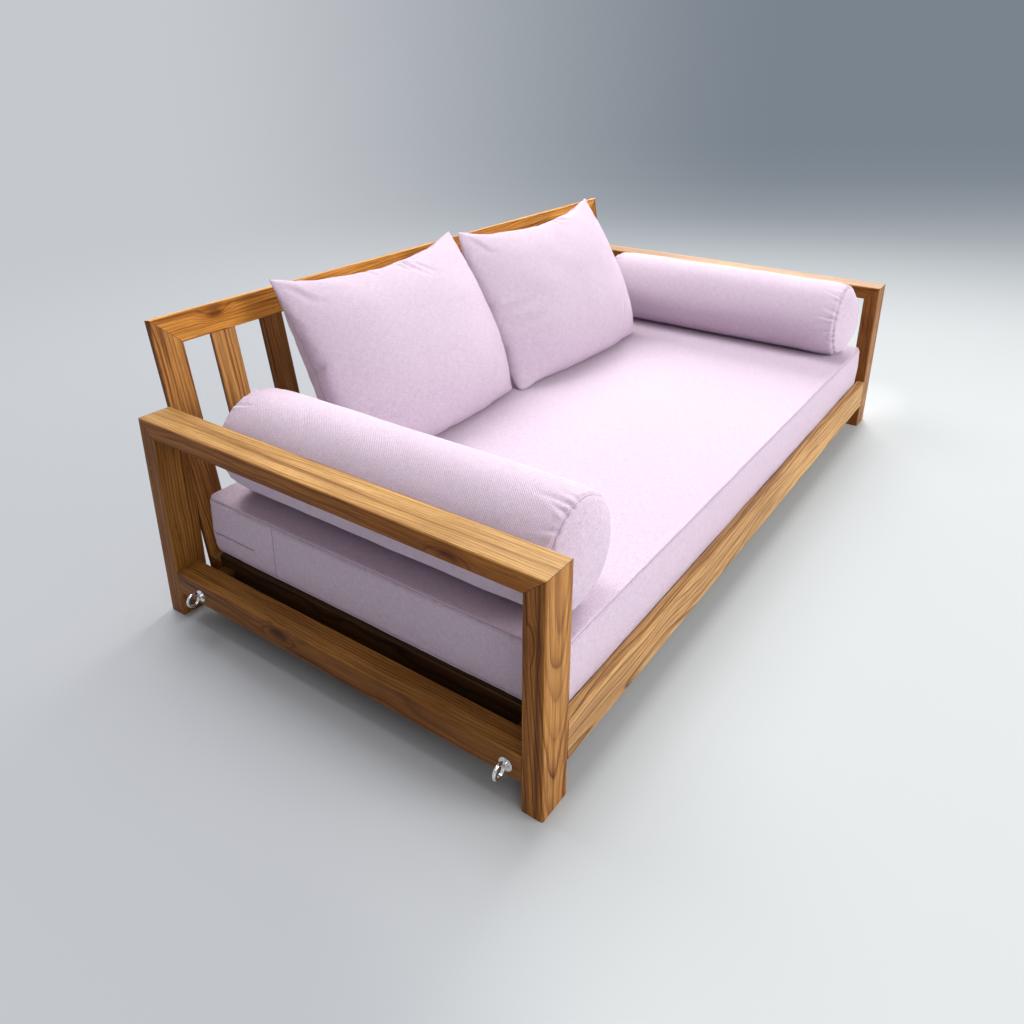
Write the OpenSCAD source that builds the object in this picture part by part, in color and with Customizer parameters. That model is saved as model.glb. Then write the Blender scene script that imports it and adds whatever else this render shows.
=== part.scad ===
// Daybed: two open end frames with flat arms, a reclined slatted back, a slatted seat,
// a loose mattress, two round bolsters and two throw pillows.
// Millimetres, +Z up, length along X, front at -Y.
// The origin is on the floor, under the middle of the whole daybed.

/* [End frames] */
// Length over the two end frames
overall_l = 2070; // [1900:5:2300]
// Depth of an end frame, front to back
frame_d = 1040; // [980:5:1160]
// Height of the arm tops above the floor
arm_top = 490; // [430:5:560]
// Width of the arms and posts, along the length
arm_w = 78; // [72:1:100]
// Depth of a post, front to back
post_d = 45; // [42:1:60]
// Thickness of an arm rail
arm_t = 40; // [36:1:50]
// Thickness of a lower side rail, along the length
side_rail_t = 60; // [50:1:64]
// Height of a lower side rail
side_rail_h = 56; // [50:1:70]
// Underside of a lower side rail above the floor
side_rail_z = 64; // [40:1:66]
// Flat taken off each long edge of the timber
ease = 2; // [1:0.5:3]

/* [Tenons and dowels] */
// Length of the tenons of the lower side rails
side_tenon_l = 26; // [16:1:32]
// Thickness of the tenons of the lower side rails
side_tenon_t = 20; // [12:1:26]
// Length of the tenons of the front rail
rail_tenon_l = 30; // [18:1:34]
// Thickness of the tenons of the front rail
rail_tenon_t = 10; // [8:1:14]
// Step from a rail's top and bottom edge to its tenon
shoulder = 10; // [6:1:14]
// Space at the end of a tenon in its mortise
tenon_space = 1; // [0.5:0.5:2]
// Diameter of the dowels in the arm corners
arm_dowel_d = 8; // [6:1:10]
// Length of the dowels in the arm corners
arm_dowel_l = 34; // [24:1:36]
// Distance between the two dowels of an arm corner
arm_dowel_gap = 40; // [28:1:48]
// Diameter of the dowels in the back frame
back_dowel_d = 6; // [5:1:8]
// Length of the dowels in the back frame
back_dowel_l = 40; // [30:1:48]

/* [Seat frame] */
// Thickness of the front rail
front_rail_t = 24; // [22:1:32]
// Height of the front rail
front_rail_h = 88; // [80:1:110]
// Underside of the front rail above the floor
front_rail_z = 76; // [60:1:80]
// Top of the seat slats above the floor
deck_z = 145; // [138:1:160]
// Thickness of the seat bearers beside the end frames
bearer_t = 25; // [20:1:30]
// Underside of the seat bearers above the floor
bearer_z = 66; // [56:1:70]
// Thickness of the ledger behind the front rail
ledger_t = 25; // [20:1:32]
// Height of the ledger
ledger_h = 42; // [34:1:48]
// Thickness of the rear rail at its lower edge
rear_rail_t = 28; // [24:1:36]
// Thickness of the centre beam
beam_t = 36; // [28:1:45]
// Height of the centre beam
beam_h = 58; // [45:1:60]
// Number of seat slats
seat_slats = 10; // [8:1:10]
// Width of a seat slat
seat_slat_w = 105; // [80:1:120]
// Thickness of a seat slat
seat_slat_t = 18; // [15:1:20]
// Bearing of a seat slat on the rear rail
slat_bearing = 24; // [18:1:26]

/* [Back] */
// Lean of the back from upright, in degrees
back_lean = 10; // [8:0.5:12]
// Height of the back frame along its slope
back_h = 615; // [560:5:680]
// Underside of the back frame above the floor
back_z = 72; // [64:1:78]
// Distance from the back's foot to the rear of the end frames
back_foot_in = 58.5; // [56:0.5:66]
// Thickness of the back frame
back_t = 16; // [15:1:20]
// Width of a stile of the back
stile_w = 70; // [56:1:84]
// Height of the top rail of the back
top_rail_h = 66; // [54:1:80]
// Height of the bottom rail of the back
bottom_rail_h = 80; // [70:1:95]
// Space between the back and each end frame
back_side_gap = 2; // [1:0.5:4]
// Number of back slats
back_slats = 12; // [10:1:12]
// Width of a back slat
back_slat_w = 66; // [54:1:74]
// Thickness of a back slat
back_slat_t = 11; // [10:1:12]
// Length of a back slat inside each rail
slat_tongue = 14; // [10:1:20]

/* [Hanging eyes] */
// Distance of the front eyes from the front of the end frames
eye_front_in = 76; // [66:1:110]
// Distance of the rear eyes from the rear of the end frames
eye_rear_in = 130; // [128:1:180]
// Height of the eye bolts above the floor
eye_z = 90; // [86:1:96]
// Radius of the eye's opening
eye_r = 10; // [8:0.5:12]
// Thickness of the eye's round bar
eye_bar = 7; // [6:0.5:9]
// Diameter of the eye bolt's shank
eye_shank_d = 10; // [8:1:12]
// Distance of the eye's centre from the side rail
eye_out = 21; // [20:1:26]
// Diameter of the washers
washer_d = 28; // [24:1:34]
// Thickness of the washers
washer_t = 2.5; // [1.5:0.5:4]
// Width of the nuts across their flats
nut_flats = 17; // [16:1:20]
// Thickness of the nuts
nut_t = 8; // [6:1:10]

/* [Screws] */
// Diameter of the seat and frame screws
screw_d = 4.5; // [4:0.5:6]
// Diameter of the heads of the seat and frame screws
screw_head_d = 9; // [8:0.5:11]
// Length of the seat screws
seat_screw_l = 40; // [30:1:45]
// Length of the frame screws
frame_screw_l = 42; // [34:1:46]
// Length of the screws that hold the seat bearers to the rear rail
bearer_screw_l = 54; // [44:1:60]
// Length of the screws that hold the back to the rear rail
back_screw_l = 34; // [26:1:38]
// Length of the screws that hold the back to the rear posts
post_screw_l = 100; // [90:1:110]
// Depth of the plugged holes over the post screws
plug_l = 8; // [6:1:12]

/* [Mattress and cushions] */
// Thickness of the mattress
mattress_t = 148; // [120:1:180]
// Radius of the mattress corners
mattress_r = 25; // [10:1:60]
// Thickness of the covers
cover_t = 2; // [1:0.5:4]
// Diameter of a bolster
bolster_d = 236; // [180:1:240]
// Length of a bolster
bolster_l = 895; // [760:5:930]
// Rise of a bolster's domed ends
bolster_dome = 25; // [15:1:40]
// Distance of a bolster's front tip from the front of the end frames
bolster_in = 30; // [24:1:60]
// Width of a throw pillow
pillow_w = 650; // [500:5:660]
// Height of a throw pillow
pillow_h = 500; // [420:5:540]
// Thickness of a throw pillow at its middle
pillow_t = 205; // [150:5:210]
// Thickness of a throw pillow at its edges
pillow_edge = 12; // [8:1:20]
// How much further out the up-and-down curve of a throw pillow lies than its side-to-side curve
pillow_crown = 5; // [3:1:8]
// Lean of the throw pillows from upright, in degrees
pillow_lean = 30; // [20:0.5:32]
// Place where the two throw pillows meet, from the middle of the daybed
pillow_meet_x = -47; // [-50:1:40]
// Distance of the left pillow's foot from the rear of the mattress
left_pillow_in = 214; // [200:1:260]
// Distance of the right pillow's foot from the rear of the mattress
right_pillow_in = 241; // [200:1:260]
// Turn of the right pillow towards the left, in degrees
right_pillow_turn = 5; // [0:0.5:8]

/* [Fits] */
// Clearance round a tenon, tongue or dowel
wood_gap = 0.1; // [0.05:0.05:0.3]
// Clearance round a bolt in timber
bolt_gap = 0.3; // [0.2:0.1:0.6]
// Clearance between a nut or washer and its bolt
nut_gap = 0.1; // [0.05:0.05:0.2]
// Clearance of a soft part from what it rests on
soft_gap = 0.3; // [0.2:0.1:0.5]
// Clearance between a core and its cover
core_gap = 0.5; // [0.3:0.1:1]
// Clearance of a bolster from the arm beside it
arm_gap = 1; // [0.5:0.5:3]
// Clearance of the mattress from each end frame
mattress_gap = 4.5; // [2:0.5:10]
// Clearance of the mattress from the front rail
mattress_front_gap = 2; // [1:0.5:6]
// Clearance of the mattress from the foot of the back
mattress_back_gap = 12; // [6:1:40]
// Space between the two throw pillows
pillow_gap = 11; // [6:1:30]

/* [Hidden] */
$fn = 64;
over = 4;                                    // how far a cutting shape runs past what it cuts
back_out = back_h * sin(back_lean) - back_foot_in;
depth_all = frame_d + back_out;
y_front = -depth_all / 2;
y_rear = y_front + frame_d;
x_out = -overall_l / 2;                      // outer face of the left end frame
x_in = x_out + arm_w;                        // inner face of the left end frame
arm_under = arm_top - arm_t;
rail_back = y_front + front_rail_t;          // rear face of the front rail
slat_under = deck_z - seat_slat_t;
bearer_in = x_in + bearer_t;                 // inner face of the left seat bearer
spacer_t = arm_w - side_rail_t;
back_foot_y = y_rear - back_foot_in;
back_w = -2 * (x_in + back_side_gap);
back_inner_w = back_w - 2 * stile_w;
rear_rail_y = back_face_y(bearer_z) - rear_rail_t;
slat_front_y = rail_back + tenon_space;
slat_rear_y = rear_rail_y + slat_bearing;
beam_y = (rail_back + rear_rail_y) / 2;
seat_slat_gap = (-2 * bearer_in - seat_slats * seat_slat_w) / (seat_slats + 1);
back_slat_gap = (back_inner_w - back_slats * back_slat_w) / (back_slats + 1);
slat_window = back_h - top_rail_h - bottom_rail_h;
eye_ys = [y_front + eye_front_in, y_rear - eye_rear_in];
mattress_y = rail_back + mattress_front_gap;
mattress_z = deck_z + soft_gap;
mattress_l = -2 * (x_in + mattress_gap);
mattress_d = back_face_y(deck_z) - mattress_back_gap - mattress_y;
cushion_z = mattress_z + mattress_t + soft_gap;
bolster_x = x_in + arm_gap + bolster_d / 2;
seat_screw_ys = [rail_back + ledger_t / 2, beam_y, rear_rail_y + slat_bearing / 2];
row_screws = 6;                              // screws in the ledger and in the foot of the back
post_screw_zs = [250, 375];                  // heights of the screws through a rear post
eye_land = 0.5;                              // depth of the flat ring inside an eye
eye_land_w = eye_bar * 0.45;

function seat_slat_name(i) = str("seat_slat_", i);
function back_slat_name(i) = str("back_slat_", i);
// Radius of an arc from its chord and its rise
function arc_radius(chord, rise) = (pow(chord / 2, 2) + pow(rise, 2)) / (2 * rise);
// Y of the back's front face at height z
function back_face_y(z) = back_foot_y - back_t / cos(back_lean) + (z - back_z) * tan(back_lean);
// Y of the back's middle plane at height z
function back_mid_y(z) = back_face_y(z) + back_t / cos(back_lean) / 2;

// Rectangle with its corners taken off
module eased(w, h) {
    polygon([
        [ease, 0], [w - ease, 0], [w, ease], [w, h - ease],
        [w - ease, h], [ease, h], [0, h - ease], [0, ease]
    ]);
}

// Timber of length l along X, Y or Z, from its low corner
module timber_x(l, d, h) { rotate([90, 0, 90]) linear_extrude(l) eased(d, h); }
module timber_y(w, l, h) { translate([0, l, 0]) rotate([90, 0, 0]) linear_extrude(l) eased(w, h); }
module timber_z(w, d, l) { linear_extrude(l) eased(w, d); }

// Prism of width w along X from an outline in Y and Z
module prism_x(w, outline) { rotate([90, 0, 90]) linear_extrude(w) polygon(outline); }

// Builds the left piece as drawn and the right piece as its mirror image
module on_side(side) { mirror([side == "right" ? 1 : 0, 0, 0]) children(); }
module on_both_sides() {
    on_side("left") children();
    on_side("right") children();
}

// Countersunk screw: head flush at the origin, shank along -Z; with a gap it is the open hole for it
module screw(l, gap = 0) {
    r = screw_d / 2 + gap;
    head_r = screw_head_d / 2 + gap;
    extra = gap > 0 ? tenon_space : 0;
    translate([0, 0, -l - extra]) cylinder(r = r, h = l + extra);
    translate([0, 0, r - head_r]) cylinder(r1 = r, r2 = head_r, h = head_r - r);
    if (gap > 0) cylinder(r = head_r, h = over);
}

// ---- End frames ----

module side_tenon(gap = 0) {
    // cross-section of a side rail's tenon, centred on the rail
    w = side_tenon_t + 2 * gap;
    h = side_rail_h - 2 * shoulder + 2 * gap;
    translate([x_out + (side_rail_t - w) / 2, 0, side_rail_z + (side_rail_h - h) / 2]) {
        extra = gap > 0 ? tenon_space : 0;
        l = frame_d - 2 * post_d + 2 * side_tenon_l + 2 * extra;
        translate([0, y_front + post_d - side_tenon_l - extra, 0]) cube([w, l, h]);
    }
}

module rail_tenon(gap = 0) {
    // both tenons of the front rail, as one bar along X
    t = rail_tenon_t + 2 * gap;
    h = front_rail_h - 2 * shoulder + 2 * gap;
    extra = gap > 0 ? tenon_space : 0;
    l = -2 * x_in + 2 * rail_tenon_l + 2 * extra;
    translate([-l / 2, y_front + (front_rail_t - t) / 2, front_rail_z + (front_rail_h - h) / 2])
        cube([l, t, h]);
}

// Dowels across the mitre of an arm corner, at the front
module corner_dowels(gap = 0) {
    l = arm_dowel_l + (gap > 0 ? 2 * tenon_space : 0);
    for (s = [-1, 1])
        translate([x_out + arm_w / 2 + s * arm_dowel_gap / 2, y_front + post_d / 2, arm_top - arm_t / 2])
            rotate([-atan2(arm_t, post_d), 0, 0])
                cylinder(d = arm_dowel_d + 2 * gap, h = l, center = true);
}

module both_corner_dowels(gap = 0) {
    corner_dowels(gap);
    translate([0, y_front + y_rear, 0]) mirror([0, 1, 0]) corner_dowels(gap);
}

module eye_holes() {
    for (y = eye_ys)
        translate([x_out - over, y, eye_z]) rotate([0, 90, 0])
            cylinder(d = eye_shank_d + 2 * bolt_gap, h = arm_w + bearer_t + 2 * over);
}

module front_post_shape() {
    run = over * post_d / arm_t;
    difference() {
        intersection() {
            translate([x_out, y_front, 0]) timber_z(arm_w, post_d, arm_top);
            translate([x_out - over, y_front, 0]) prism_x(arm_w + 2 * over, [
                [-run, -over], [post_d + over, -over],
                [post_d + over, arm_under - over * arm_t / post_d], [-run, arm_top + over]
            ]);
        }
        side_tenon(wood_gap);
        both_corner_dowels(wood_gap);
    }
}

module front_post() {
    difference() {
        front_post_shape();
        rail_tenon(wood_gap);
    }
}

module rear_post() {
    difference() {
        translate([0, y_front + y_rear, 0]) mirror([0, 1, 0]) front_post_shape();
        for (z = post_screw_zs) post_screw_hole(z);
    }
}

module arm_rail() {
    run = over * post_d / arm_t;
    difference() {
        intersection() {
            translate([x_out, y_front, arm_under]) timber_y(arm_w, frame_d, arm_t);
            translate([x_out - over, y_front, 0]) prism_x(arm_w + 2 * over, [
                [-run, arm_top + over], [post_d + run, arm_under - over],
                [frame_d - post_d - run, arm_under - over], [frame_d + run, arm_top + over]
            ]);
        }
        both_corner_dowels(wood_gap);
    }
}

module side_rail() {
    difference() {
        union() {
            translate([x_out, y_front + post_d, side_rail_z])
                timber_y(side_rail_t, frame_d - 2 * post_d, side_rail_h);
            side_tenon();
        }
        eye_holes();
    }
}

module arm_dowels() { color("burlywood") on_both_sides() both_corner_dowels(); }

// ---- Seat frame ----

module front_rail() {
    color("peru") difference() {
        union() {
            translate([x_in, y_front, front_rail_z]) timber_x(-2 * x_in, front_rail_t, front_rail_h);
            rail_tenon();
        }
        ledger_screws(wood_gap);
    }
}

module front_ledger() {
    color("sienna") difference() {
        translate([bearer_in, rail_back, slat_under - ledger_h]) timber_x(-2 * bearer_in, ledger_t, ledger_h);
        ledger_screws(wood_gap);
        seat_screws_at(seat_screw_ys[0], wood_gap);
    }
}

// Rear rail, with its rear face planed to the lean of the back
module rear_rail() {
    h = slat_under - bearer_z;
    color("sienna") difference() {
        translate([x_in, 0, 0]) prism_x(-2 * x_in, [
            [rear_rail_y, bearer_z], [back_face_y(bearer_z), bearer_z],
            [back_face_y(bearer_z + h), bearer_z + h], [rear_rail_y, bearer_z + h]
        ]);
        on_both_sides() bearer_screws(wood_gap);
        seat_screws_at(seat_screw_ys[2], wood_gap);
        back_rail_screws(wood_gap);
    }
}

module seat_bearer() {
    difference() {
        translate([x_in, rail_back, bearer_z]) timber_y(bearer_t, rear_rail_y - rail_back, deck_z - bearer_z);
        eye_holes();
        bearer_screws(wood_gap);
        beam_tenons(wood_gap);
    }
}

module beam_tenons(gap = 0) {
    t = beam_t - 2 * shoulder + 2 * gap;
    h = beam_h - 2 * shoulder + 2 * gap;
    l = -2 * bearer_in + bearer_t + 2 * (gap > 0 ? tenon_space : 0);
    translate([-l / 2, beam_y - t / 2, slat_under - beam_h / 2 - h / 2]) cube([l, t, h]);
}

module centre_beam() {
    color("sienna") difference() {
        union() {
            translate([bearer_in, beam_y - beam_t / 2, slat_under - beam_h])
                timber_x(-2 * bearer_in, beam_t, beam_h);
            beam_tenons();
        }
        seat_screws_at(seat_screw_ys[1], wood_gap);
    }
}

function seat_slat_x(i) = bearer_in + i * seat_slat_gap + (i - 1) * seat_slat_w;

module seat_slat(i) {
    color("tan") difference() {
        translate([seat_slat_x(i), slat_front_y, slat_under])
            timber_y(seat_slat_w, slat_rear_y - slat_front_y, seat_slat_t);
        for (y = seat_screw_ys) seat_screws_at(y, wood_gap);
    }
}

// Blocks that fill the step between a side rail and the seat bearer at each eye bolt
module bearer_spacers() {
    w = washer_d + 2 * over;
    color("sienna") on_both_sides() difference() {
        for (y = eye_ys)
            translate([x_in - spacer_t, y - w / 2, side_rail_z + ease])
                cube([spacer_t, w, side_rail_h - 2 * ease]);
        eye_holes();
    }
}

// ---- Screws of the seat ----

module seat_screws_at(y, gap = 0) {
    for (i = [1:seat_slats])
        translate([seat_slat_x(i) + seat_slat_w / 2, y, deck_z]) screw(seat_screw_l, gap);
}

module ledger_screws(gap = 0) {
    pitch = -2 * bearer_in / row_screws;
    for (i = [0:row_screws - 1])
        translate([bearer_in + (i + 0.5) * pitch, rail_back + ledger_t, slat_under - ledger_h / 2 - ease])
            rotate([-90, 0, 0]) screw(frame_screw_l, gap);
}

module bearer_screws(gap = 0) {
    z_mid = (bearer_z + slat_under) / 2;
    step = (slat_under - bearer_z) / 4;
    for (z = [z_mid - step, z_mid + step]) {
        head_y = back_face_y(z) - screw_head_d / 2;
        translate([x_in + bearer_t / 2, head_y, z]) rotate([-90, 0, 0]) {
            screw(bearer_screw_l, gap);
            if (gap > 0) cylinder(d = screw_head_d + 2 * gap, h = screw_head_d);
        }
    }
}

module seat_screws() {
    color("silver") for (y = seat_screw_ys) seat_screws_at(y);
}

module frame_screws() {
    color("silver") {
        ledger_screws();
        on_both_sides() bearer_screws();
    }
}

// ---- Back ----

// Places a shape drawn upright, rear face on y = 0 and foot on z = 0, at the lean of the back
module on_back() { translate([0, back_foot_y, back_z]) rotate([-back_lean, 0, 0]) children(); }

module back_stile() {
    on_back() difference() {
        intersection() {
            translate([-back_w / 2, -back_t, 0]) timber_z(stile_w, back_t, back_h);
            stile_side_of_mitre();
        }
        back_frame_dowels(wood_gap);
        stile_screw_holes();
    }
}

// Everything of the upright back frame that lies below its left top mitre
module stile_side_of_mitre() {
    run = over * stile_w / top_rail_h;
    translate([-back_w / 2, over, 0]) rotate([90, 0, 0]) linear_extrude(back_t + 2 * over) polygon([
        [-run, -over], [stile_w + over, -over],
        [stile_w + over, back_h - top_rail_h - over * top_rail_h / stile_w], [-run, back_h + over]
    ]);
}

module back_top_rail() {
    run = over * stile_w / top_rail_h;
    color("peru") on_back() difference() {
        intersection() {
            translate([-back_w / 2, -back_t, back_h - top_rail_h]) timber_x(back_w, back_t, top_rail_h);
            translate([0, over, back_h]) rotate([90, 0, 0]) linear_extrude(back_t + 2 * over) polygon([
                [-back_w / 2 - run, over], [-back_inner_w / 2 + run, -top_rail_h - over],
                [back_inner_w / 2 - run, -top_rail_h - over], [back_w / 2 + run, over]
            ]);
        }
        on_both_sides() back_frame_dowels(wood_gap);
        for (i = [1:back_slats]) slat_core(i, wood_gap);
    }
}

module back_bottom_rail() {
    color("peru") difference() {
        on_back() difference() {
            translate([-back_inner_w / 2, -back_t, 0]) timber_x(back_inner_w, back_t, bottom_rail_h);
            on_both_sides() back_frame_dowels(wood_gap);
            for (i = [1:back_slats]) slat_core(i, wood_gap);
        }
        back_rail_screws(wood_gap);
    }
}

function back_slat_x(i) = -back_inner_w / 2 + i * back_slat_gap + (i - 1) * back_slat_w;

// A back slat, upright, with its tongues in both rails
module slat_core(i, gap = 0) {
    t = back_slat_t + 2 * gap;
    extra = gap > 0 ? tenon_space : 0;
    translate([back_slat_x(i) - gap, -(back_t + t) / 2, bottom_rail_h - slat_tongue - extra])
        cube([back_slat_w + 2 * gap, t, slat_window + 2 * slat_tongue + 2 * extra]);
}

module back_slat(i) {
    color("chocolate") on_back() intersection() {
        slat_core(i);
        translate([back_slat_x(i), -(back_t + back_slat_t) / 2, 0])
            timber_z(back_slat_w, back_slat_t, back_h);
    }
}

// Left dowels of the upright back frame: two across the mitre, two into the bottom rail
module back_frame_dowels(gap = 0) {
    l = back_dowel_l + (gap > 0 ? 2 * tenon_space : 0);
    d = back_dowel_d + 2 * gap;
    corner = atan2(top_rail_h, stile_w);
    translate([-back_w / 2 + stile_w / 2, -back_t / 2, back_h - top_rail_h / 2]) rotate([0, corner, 0])
        for (s = [-1, 1]) translate([s * stile_w / 4, 0, 0]) cylinder(d = d, h = l, center = true);
    for (z = [bottom_rail_h / 3, bottom_rail_h * 3 / 4])
        translate([-back_inner_w / 2, -back_t / 2, z]) rotate([0, 90, 0])
            cylinder(d = d, h = l, center = true);
}

module back_dowels() { color("burlywood") on_back() on_both_sides() back_frame_dowels(); }

// Screws from the back's bottom rail into the rear rail
module back_rail_screws(gap = 0) {
    pitch = back_inner_w / row_screws;
    on_back() for (i = [0:row_screws - 1])
        translate([-back_inner_w / 2 + (i + 0.5) * pitch, 0, bottom_rail_h / 2 - slat_tongue])
            rotate([-90, 0, 0]) screw(back_screw_l, gap);
}

// Screw from a rear post into the edge of the back's stile, with its plugged hole
module post_screw(z, gap = 0) {
    translate([x_out + plug_l, back_mid_y(z), z]) rotate([0, -90, 0]) screw(post_screw_l, gap);
}

module post_screw_hole(z) {
    post_screw(z, wood_gap);
    translate([x_out - over, back_mid_y(z), z]) rotate([0, 90, 0])
        cylinder(d = screw_head_d + 2 * wood_gap, h = over + plug_l);
}

module stile_screw_holes() {
    // the post screws, taken back into the upright frame of the back
    rotate([back_lean, 0, 0]) translate([0, -back_foot_y, -back_z])
        for (z = post_screw_zs) post_screw(z, wood_gap);
}

module back_screws() {
    color("silver") {
        back_rail_screws();
        on_both_sides() for (z = post_screw_zs) post_screw(z);
    }
}

module screw_plugs() {
    color("peru") on_both_sides() for (z = post_screw_zs)
        translate([x_out, back_mid_y(z), z]) rotate([0, 90, 0]) cylinder(d = screw_head_d, h = plug_l);
}

// ---- Hanging eyes ----

// An eye bolt with its shank along +X from the eye's centre
module eye_bolt() {
    bar_r = eye_bar / 2;
    ring_r = eye_r + bar_r + eye_land;
    difference() {
        union() {
            rotate([90, 0, 0]) rotate_extrude() translate([ring_r, 0]) circle(bar_r);
            rotate([90, 0, 0]) cylinder(r = ring_r - bar_r / 2, h = eye_land_w, center = true);
            translate([ring_r, 0, 0]) rotate([0, 90, 0])
                cylinder(d = eye_shank_d, h = eye_out - ring_r + arm_w + bearer_t + washer_t + nut_t + over);
        }
        rotate([90, 0, 0]) cylinder(r = eye_r, h = eye_land_w + 2 * over, center = true);
    }
}

module at_eyes() { on_both_sides() for (y = eye_ys) translate([x_out, y, eye_z]) children(); }

module ring_x(d, t) {
    rotate([0, 90, 0]) difference() {
        cylinder(d = d, h = t);
        translate([0, 0, -over]) cylinder(d = eye_shank_d + 2 * nut_gap, h = t + 2 * over);
    }
}

module eye_bolts() { color("silver") at_eyes() translate([-eye_out, 0, 0]) eye_bolt(); }

// Washers outside each side rail and inside each seat bearer
module eye_washers() {
    color("gainsboro") at_eyes() {
        translate([-washer_t, 0, 0]) ring_x(washer_d, washer_t);
        translate([arm_w + bearer_t, 0, 0]) ring_x(washer_d, washer_t);
    }
}

module eye_nuts() {
    nut_x = arm_w + bearer_t + washer_t;
    color("gainsboro") at_eyes() translate([nut_x, 0, 0]) rotate([0, 90, 0]) difference() {
        cylinder(d = nut_flats / cos(30), h = nut_t, $fn = 6);
        translate([0, 0, -over]) cylinder(d = eye_shank_d + 2 * nut_gap, h = nut_t + 2 * over);
    }
}

// ---- Mattress and cushions ----

// Box with rounded upright corners, drawn in by inset on every side
module mattress_shape(inset) {
    l = mattress_l - 2 * inset;
    d = mattress_d - 2 * inset;
    r = mattress_r - inset;
    translate([0, mattress_y + mattress_d / 2, mattress_z + inset]) linear_extrude(mattress_t - 2 * inset) {
        square([l - 2 * r, d], center = true);
        square([l, d - 2 * r], center = true);
        for (x = [-1, 1], y = [-1, 1]) translate([x * (l / 2 - r), y * (d / 2 - r)]) circle(r);
    }
}

module mattress_cover() {
    color("thistle") difference() {
        mattress_shape(0);
        mattress_shape(cover_t);
    }
}

module mattress_core() { color("ivory") mattress_shape(cover_t + core_gap); }

// Left bolster: a cylinder along Y with domed ends, drawn in by inset
module bolster_shape(inset) {
    r = bolster_d / 2 - inset;
    dome_r = arc_radius(bolster_d, bolster_dome) - inset;
    straight = bolster_l - 2 * bolster_dome;
    y = y_front + bolster_in + bolster_l / 2;
    translate([bolster_x, y, cushion_z + bolster_d / 2]) rotate([90, 0, 0]) {
        cylinder(r = r, h = straight, center = true, $fn = 128);
        for (s = [0, 1]) mirror([0, 0, s]) intersection() {
            cylinder(r = r, h = bolster_l / 2, $fn = 128);
            translate([0, 0, bolster_l / 2 - inset - dome_r]) sphere(r = dome_r, $fn = 128);
        }
    }
}

module bolster_cover() {
    color("thistle") difference() {
        bolster_shape(0);
        bolster_shape(cover_t);
    }
}

module bolster_core() { color("ivory") bolster_shape(cover_t + core_gap); }

// Pillow standing upright on z = 0, thin at all four edges, drawn in by inset
module pillow_shape(inset) {
    w = pillow_w - 2 * inset;
    h = pillow_h - 2 * inset;
    t = pillow_t - 2 * inset;
    rise = (pillow_t - pillow_edge) / 2;
    across_r = arc_radius(pillow_w, rise);
    up_r = arc_radius(pillow_h, rise);
    translate([0, 0, pillow_h / 2]) intersection() {
        cube([w, t + 2 * over, h], center = true);
        for_both_faces(t, across_r) cylinder(r = across_r, h = h + 2 * over, center = true, $fn = 128);
        for_both_faces(t + 2 * pillow_crown, up_r) rotate([0, 90, 0])
            cylinder(r = up_r, h = w + 2 * over, center = true, $fn = 128);
    }
}

// Common part of a shape pushed back and its twin pushed forward, so that the two faces are t apart
module for_both_faces(t, r) {
    intersection() {
        translate([0, r - t / 2, 0]) children();
        translate([0, t / 2 - r, 0]) children();
    }
}

module place_pillow(side) {
    x = pillow_meet_x + (side == "left" ? -1 : 1) * (pillow_gap + pillow_w) / 2;
    in = side == "left" ? left_pillow_in : right_pillow_in;
    turn = side == "left" ? 0 : -right_pillow_turn;
    lift = (pillow_edge / 2 + pillow_crown) * sin(pillow_lean);
    translate([x, mattress_y + mattress_d - in, cushion_z + lift])
        rotate([0, 0, turn]) rotate([-pillow_lean, 0, 0])
            children();
}

module pillow_cover(side) {
    color("thistle") place_pillow(side) difference() {
        pillow_shape(0);
        pillow_shape(cover_t);
    }
}

module pillow_insert(side) { color("ivory") place_pillow(side) pillow_shape(cover_t + core_gap); }

color("peru") on_side("left") front_post();  // left_front_post
color("peru") on_side("left") rear_post();  // left_rear_post
color("peru") on_side("left") arm_rail();  // left_arm_rail
color("peru") on_side("left") side_rail();  // left_side_rail
color("peru") on_side("right") front_post();  // right_front_post
color("peru") on_side("right") rear_post();  // right_rear_post
color("peru") on_side("right") arm_rail();  // right_arm_rail
color("peru") on_side("right") side_rail();  // right_side_rail
front_rail();
rear_rail();
front_ledger();
color("sienna") on_side("left") seat_bearer();  // left_seat_bearer
color("sienna") on_side("right") seat_bearer();  // right_seat_bearer
centre_beam();
for (i = [1:seat_slats]) {
    seat_slat(i);
}
back_top_rail();
back_bottom_rail();
color("peru") on_side("left") back_stile();  // left_back_stile
color("peru") on_side("right") back_stile();  // right_back_stile
for (i = [1:back_slats]) {
    back_slat(i);
}
eye_bolts();
eye_washers();
eye_nuts();
bearer_spacers();
arm_dowels();
back_dowels();
seat_screws();
frame_screws();
back_screws();
screw_plugs();
mattress_cover();
mattress_core();
on_side("left") bolster_cover();  // left_bolster_cover
on_side("left") bolster_core();  // left_bolster_core
on_side("right") bolster_cover();  // right_bolster_cover
on_side("right") bolster_core();  // right_bolster_core
pillow_cover("left");  // left_pillow_cover
pillow_insert("left");  // left_pillow_insert
pillow_cover("right");  // right_pillow_cover
pillow_insert("right");  // right_pillow_insert
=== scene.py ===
import math
import random

import bpy
from mathutils import Matrix, Vector, noise


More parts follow.
